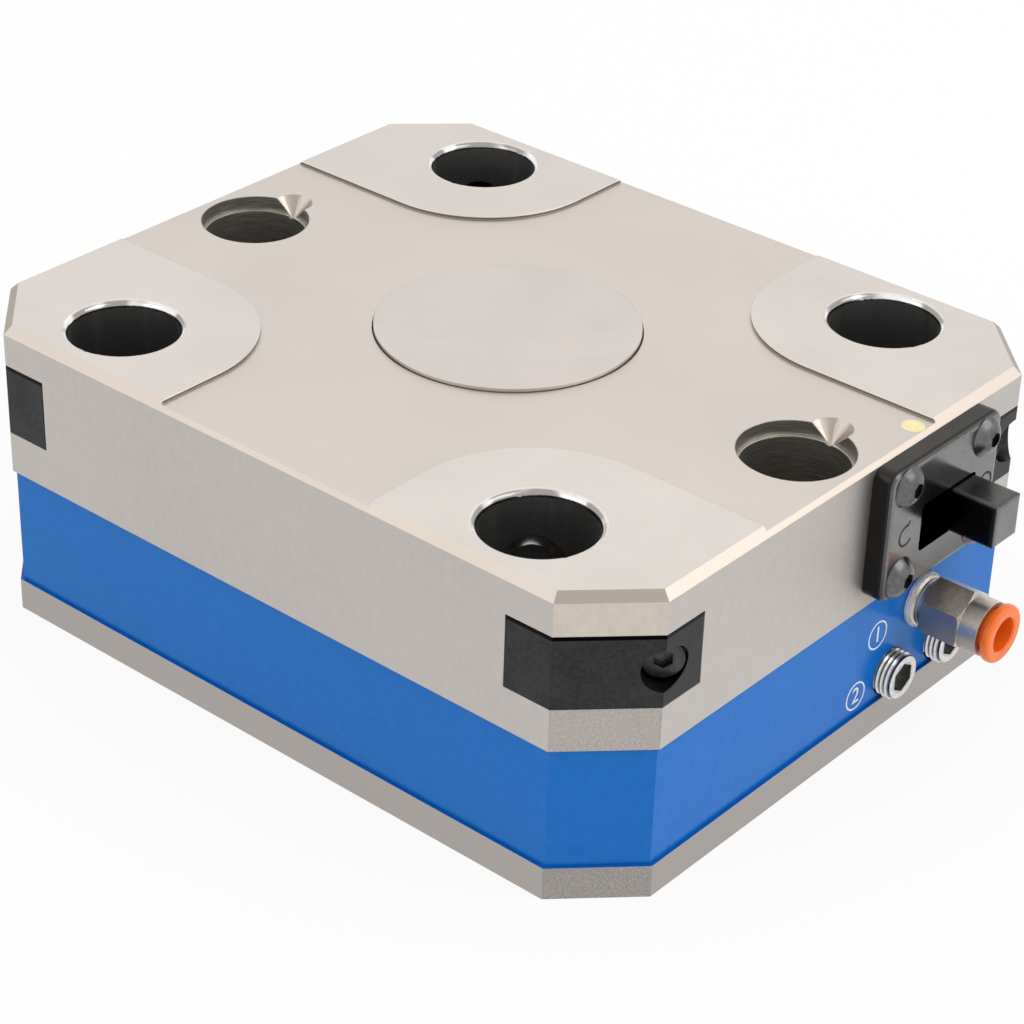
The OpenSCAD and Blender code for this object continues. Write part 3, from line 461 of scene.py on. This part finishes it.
def rubber():
    g = Graph("seal_rubber")
    fine = g.noise(g.coord, 1800.0, 3.0)
    g.link(g.blend(fine, (0.018, 0.018, 0.018), (0.035, 0.034, 0.033)), g.bsdf.inputs["Base Color"])
    g.link(g.ramp(fine, 0.3, 0.7, 0.5, 0.62), g.bsdf.inputs["Roughness"])
    g.link(g.bump(fine, 0.01 * MM, 0.5), g.bsdf.inputs["Normal"])
    return g.mat


def moulded(name, dark, light, rough, subsurface=0.0):
    """Moulded plastic with a faint grain."""
    g = Graph(name)
    broad = g.noise(g.coord, 220.0, 3.0)
    fine = g.noise(g.coord, 3000.0, 2.0)
    g.link(g.blend(g.ramp(broad, 0.3, 0.7), dark, light), g.bsdf.inputs["Base Color"])
    g.link(g.ramp(broad, 0.2, 0.8, rough - 0.04, rough + 0.05), g.bsdf.inputs["Roughness"])
    g.bsdf.inputs["Subsurface Weight"].default_value = subsurface
    g.bsdf.inputs["Subsurface Radius"].default_value = (0.002, 0.0006, 0.0003)
    g.link(g.bump(fine, 0.006 * MM, 0.5, g.rounded(0.1 * MM)), g.bsdf.inputs["Normal"])
    return g.mat


def white_ink():
    g = Graph("white_ink")
    fine = g.noise(g.coord, 1500.0, 2.0)
    g.link(g.blend(fine, (0.80, 0.82, 0.85), (0.88, 0.89, 0.91)), g.bsdf.inputs["Base Color"])
    g.link(g.ramp(fine, 0.3, 0.7, 0.35, 0.45), g.bsdf.inputs["Roughness"])
    g.link(g.bump(fine, 0.004 * MM, 0.4), g.bsdf.inputs["Normal"])
    return g.mat


GROUND = ground_steel()
MATERIALS = {
    "block_steel": GROUND,
    "cover_steel": cover_steel(),
    "band_blue": blue_paint(),
    "base_steel": plain_steel("base_steel", grey(0.42, 0.02), grey(0.55, 0.02), 0.40, 700.0, 0.012),
    "black_oxide": plain_steel("black_oxide", grey(0.045), grey(0.085), 0.34, 900.0, 0.012),
    "seal_rubber": rubber(),
    "piston_steel": plain_steel("piston_steel", grey(0.40), grey(0.50), 0.32, 800.0, 0.01, (1.0, 1.0, 8.0)),
    "spring_steel": plain_steel("spring_steel", grey(0.12), grey(0.20), 0.38, 700.0),
    "pin_steel": plain_steel("pin_steel", grey(0.42), grey(0.56), 0.22, 1400.0, 0.006),
    "corner_black": corner_steel(),
    "plate_black": plate_steel(),
    "plate_screw": plain_steel("plate_screw", grey(0.095), grey(0.165), 0.27, 900.0, 0.012),
    # Lever: painted shade on its sides, painted light on its top and brighter on its +X end
    "lever_black": faced_steel("lever_black", (grey(0.0125), grey(0.115), grey(0.230)), 0.27, 1600.0, 0.006, 0.9),
    "valve_metal": plain_steel("valve_metal", grey(0.45), grey(0.55), 0.35, 900.0),
    "spool_steel": plain_steel("spool_steel", grey(0.48), grey(0.60), 0.22, 900.0),
    "nickel": nickel(),
    "thread_tape": moulded("thread_tape", (0.50, 0.51, 0.53), (0.78, 0.78, 0.77), 0.55),
    "grip_steel": plain_steel("grip_steel", grey(0.45), grey(0.58), 0.25, 900.0),
    "collar_orange": moulded("collar_orange", (0.93, 0.165, 0.010), (0.98, 0.200, 0.016), 0.24, 0.12),
    "plug_zinc": zinc(),
    "plug_brass": plain_steel("plug_brass", (0.80, 0.68, 0.37), (0.90, 0.79, 0.47), 0.30, 900.0, 0.008),
}

for entry in frame["record"]["subparts"]:
    obj = nodes[entry["node"]]
    obj.data.materials.clear()
    obj.data.materials.append(MATERIALS[entry["material_slot"]])


# Small pieces made here

def add_mesh(name, bm, material, smooth=True):
    mesh = bpy.data.meshes.new(name)
    bmesh.ops.recalc_face_normals(bm, faces=bm.faces)
    bm.to_mesh(mesh)
    bm.free()
    obj = bpy.data.objects.new(name, mesh)
    bpy.context.scene.collection.objects.link(obj)
    mesh.materials.append(material)
    if smooth:
        mesh.polygons.foreach_set("use_smooth", [True] * len(mesh.polygons))
    return obj


def strip(name, points, width, material, body, closed=False):
    """Flat line of the given width along points that lie on a face looking to +X."""
    bm = bmesh.new()
    rows = []
    count = len(points)
    for i, p in enumerate(points):
        a = points[(i - 1) % count] if closed or i else p
        b = points[(i + 1) % count] if closed or i < count - 1 else p
        along = (Vector(b) - Vector(a)).normalized()
        side = Vector((1, 0, 0)).cross(along) * (width / 2)
        lift = Vector((0.02 * MM, 0, 0))
        rows.append([bm.verts.new(Vector(p) - side), bm.verts.new(Vector(p) - side + lift),
                     bm.verts.new(Vector(p) + side + lift), bm.verts.new(Vector(p) + side)])
    last = count if closed else count - 1
    for i in range(last):
        r0 = rows[i]
        r1 = rows[(i + 1) % count]
        for k in range(4):
            bm.faces.new((r0[k], r0[(k + 1) % 4], r1[(k + 1) % 4], r1[k]))
    if not closed:
        bm.faces.new(rows[0])
        bm.faces.new(rows[-1])
    obj = add_mesh(name, bm, material, smooth=False)
    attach(obj, body)
    return obj


def arc(x, y, z, radius, start, end, steps=40):
    """Points of an arc on a face looking to +X, with angles in degrees from +Y towards +Z."""
    turn = [math.radians(start + (end - start) * i / steps) for i in range(steps + 1)]
    return [(x, y + radius * math.cos(t), z + radius * math.sin(t)) for t in turn]


def plate_signs():
    """Two small engraved signs beside the window: an open arc and a closed ring."""
    ink = moulded("engraved_dark", (0.006, 0.006, 0.006), (0.012, 0.012, 0.012), 0.6)
    face = PLATE_HI[0]
    z = 43.7 * MM
    left_y = 10.4 * MM
    right_y = 34.6 * MM
    r = 1.9 * MM
    line = 0.48 * MM
    strip("sign_open_arc", arc(face, left_y, z, r, 75, 325), line, ink, "block")
    strip("sign_open_tick", [(face, left_y + 0.25 * MM, z + 1.75 * MM), (face, left_y + 1.0 * MM, z + 2.6 * MM)],
          line, ink, "block")
    ring = arc(face, right_y, z, r, 0, 360)[:-1]
    strip("sign_closed_ring", ring, line, ink, "block", closed=True)


def number(name, text, y, z, size, material):
    """Plain printed number on the side band, facing +X."""
    curve = bpy.data.curves.new(name, "FONT")
    curve.body = text
    curve.size = size
    curve.extrude = 0.02 * MM
    curve.align_x = "CENTER"
    curve.align_y = "CENTER"
    text_obj = bpy.data.objects.new(name + "_text", curve)
    bpy.context.scene.collection.objects.link(text_obj)
    bpy.context.view_layer.update()
    mesh = bpy.data.meshes.new_from_object(text_obj.evaluated_get(bpy.context.evaluated_depsgraph_get()))
    bpy.data.objects.remove(text_obj)
    turn = Matrix(((0, 0, 1, BAND_HI[0] - 0.58 * MM), (1, 0, 0, y), (0, 1, 0, z), (0, 0, 0, 1)))
    mesh.transform(turn)
    mesh.materials.clear()
    mesh.materials.append(material)
    obj = bpy.data.objects.new(name, mesh)
    bpy.context.scene.collection.objects.link(obj)
    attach(obj, "block")


def port_numbers():
    """Plain port numbers 1 and 2, each in a ring, near their plugs."""
    ink = white_ink()
    for name, y, z in (("1", 12.6 * MM, 20.4 * MM), ("2", 7.4 * MM, 10.2 * MM)):
        number("port_number_" + name, name, y, z, 4.6 * MM, ink)
        ring = arc(BAND_HI[0] - 0.6 * MM, y, z, 2.65 * MM, 0, 360, 64)[:-1]
        strip("port_ring_" + name, ring, 0.32 * MM, ink, "block", closed=True)


def tape_wrap():
    """Wound thread seal: a soft ring with uneven edges and wraps."""
    lo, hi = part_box("fitting_thread_seal")
    axis_y = (lo[1] + hi[1]) / 2
    axis_z = (lo[2] + hi[2]) / 2
    r_out = (hi[2] - lo[2]) / 2
    r_in = r_out - 0.22 * MM
    width = hi[0] - lo[0]
    around = 160
    across = 9
    bm = bmesh.new()
    rings = []
    for i in range(around):
        t = 2 * math.pi * i / around
        fray = 0.20 * MM * (math.sin(7 * t + 0.4) + 0.6 * math.sin(17 * t + 1.9) + 0.4 * math.sin(41 * t)) / 2
        row = []
        for k in range(across):
            u = k / (across - 1)
            wrap = 0.05 * MM * math.sin(2 * math.pi * (2.5 * u + i / around * 2.0))
            r = r_out + wrap + 0.05 * MM * math.sin(math.pi * u) - 0.12 * MM * (2 * u - 1) ** 4
            x = lo[0] + width * u + (fray if u > 0.7 else 0.0)
            row.append(bm.verts.new((x, axis_y + r * math.cos(t), axis_z + r * math.sin(t))))
        for x in (hi[0] + fray, lo[0]):
            row.append(bm.verts.new((x, axis_y + r_in * math.cos(t), axis_z + r_in * math.sin(t))))
        rings.append(row)
    n = across + 2
    for i in range(around):
        a = rings[i]
        b = rings[(i + 1) % around]
        for k in range(n):
            bm.faces.new((a[k], a[(k + 1) % n], b[(k + 1) % n], b[k]))
    obj = add_mesh("thread_tape_wrap", bm, MATERIALS["thread_tape"])
    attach(obj, "block")
    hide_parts("fitting_thread_seal")


plate_signs()
port_numbers()
tape_wrap()


# Light, floor and camera

def camera():
    """The photograph's camera, from its fitted angles, distance and shift across the view."""
    azimuth = math.radians(39.845)
    elevation = math.radians(31.295)
    roll = math.radians(1.827)
    distance = 552.393 * MM
    across = -2.309 * MM
    along = -16.675 * MM
    focal_px = 2930.149
    frame_px = 1024
    sensor = 36.0
    back = Vector((math.sin(azimuth) * math.cos(elevation), -math.cos(azimuth) * math.cos(elevation),
                   math.sin(elevation)))
    right = Vector((0, 0, 1)).cross(back).normalized()
    up = back.cross(right)
    cam_x = math.cos(roll) * right + math.sin(roll) * up
    cam_y = -math.sin(roll) * right + math.cos(roll) * up
    place = -across * cam_x - along * cam_y + distance * back
    data = bpy.data.cameras.new("photo_camera")
    data.sensor_width = sensor
    data.lens = focal_px / frame_px * sensor
    data.clip_start = 0.01
    data.clip_end = 20.0
    obj = bpy.data.objects.new("photo_camera", data)
    bpy.context.scene.collection.objects.link(obj)
    turn = Matrix((cam_x, cam_y, back)).transposed()
    obj.matrix_world = Matrix.Translation(place) @ turn.to_4x4()
    bpy.context.scene.camera = obj


def lamp(name, place, target, size, watts, tint=(1.0, 1.0, 1.0)):
    data = bpy.data.lights.new(name, "AREA")
    data.shape = "RECTANGLE"
    data.size = size[0]
    data.size_y = size[1]
    data.energy = watts
    data.color = tint
    obj = bpy.data.objects.new(name, data)
    bpy.context.scene.collection.objects.link(obj)
    aim = Vector(target) - Vector(place)
    obj.location = place
    obj.rotation_euler = aim.to_track_quat("-Z", "Y").to_euler()


def background_rays(tree):
    """A value of one where the camera, a mirror or glass looks, so that all of them see the white background."""
    path = tree.nodes.new("ShaderNodeLightPath")
    value = path.outputs["Is Camera Ray"]
    for ray in ("Is Glossy Ray", "Is Transmission Ray"):
        either = tree.nodes.new("ShaderNodeMath")
        either.operation = "MAXIMUM"
        tree.links.new(value, either.inputs[0])
        tree.links.new(path.outputs[ray], either.inputs[1])
        value = either.outputs[0]
    return value


def studio():
    world = bpy.data.worlds.new("studio")
    bpy.context.scene.world = world
    world.use_nodes = True
    tree = world.node_tree
    tree.nodes.clear()
    out = tree.nodes.new("ShaderNodeOutputWorld")
    mix = tree.nodes.new("ShaderNodeMixShader")
    seen = tree.nodes.new("ShaderNodeBackground")
    seen.inputs["Color"].default_value = (1.0, 1.0, 1.0, 1.0)
    seen.inputs["Strength"].default_value = 1.0
    light = tree.nodes.new("ShaderNodeBackground")
    coord = tree.nodes.new("ShaderNodeTexCoord")
    split = tree.nodes.new("ShaderNodeSeparateXYZ")
    sweep = tree.nodes.new("ShaderNodeMapRange")
    sweep.interpolation_type = "SMOOTHSTEP"
    for socket, value in zip(sweep.inputs, (0.0, -0.2, 0.9, 0.62, 0.95)):
        socket.default_value = value
    tree.links.new(coord.outputs["Generated"], split.inputs[0])
    tree.links.new(split.outputs[2], sweep.inputs[0])
    light.inputs["Color"].default_value = (1.0, 0.99, 0.975, 1.0)
    tree.links.new(sweep.outputs[0], light.inputs["Strength"])
    tree.links.new(background_rays(tree), mix.inputs[0])
    tree.links.new(light.outputs[0], mix.inputs[1])
    tree.links.new(seen.outputs[0], mix.inputs[2])
    tree.links.new(mix.outputs[0], out.inputs[0])

    lamp("key", (0.70, 0.30, 0.75), (0, 0, 0.03), (0.8, 0.6), 2.2)
    lamp("side", (-0.35, -0.85, 0.55), (0, 0, 0.03), (0.8, 0.5), 0.9)
    lamp("back", (-0.55, 0.55, 0.85), (0, 0, 0.05), (0.9, 0.6), 0.5, (1.0, 0.98, 0.95))


def floor():
    """Pale floor that looks white, in mirrors too, and keeps the object's shadow."""
    bm = bmesh.new()
    bmesh.ops.create_circle(bm, cap_ends=True, radius=3.0, segments=96)
    mesh = bpy.data.meshes.new("studio_floor")
    bm.to_mesh(mesh)
    bm.free()
    obj = bpy.data.objects.new("studio_floor", mesh)
    bpy.context.scene.collection.objects.link(obj)
    mat = bpy.data.materials.new("studio_floor")
    mat.use_nodes = True
    tree = mat.node_tree
    tree.nodes.clear()
    out = tree.nodes.new("ShaderNodeOutputMaterial")
    matte = tree.nodes.new("ShaderNodeBsdfDiffuse")
    matte.inputs["Color"].default_value = (0.93, 0.93, 0.925, 1.0)
    glow = tree.nodes.new("ShaderNodeEmission")
    glow.inputs["Strength"].default_value = 1.0
    share = tree.nodes.new("ShaderNodeMath")
    share.operation = "MULTIPLY"
    share.inputs[1].default_value = 0.87
    mix = tree.nodes.new("ShaderNodeMixShader")
    tree.links.new(background_rays(tree), share.inputs[0])
    tree.links.new(share.outputs[0], mix.inputs[0])
    tree.links.new(matte.outputs[0], mix.inputs[1])
    tree.links.new(glow.outputs[0], mix.inputs[2])
    tree.links.new(mix.outputs[0], out.inputs[0])
    mesh.materials.append(mat)
    obj.location = (0, 0, -0.05 * MM)


camera()
studio()
floor()
bpy.context.scene.view_settings.view_transform = "Standard"
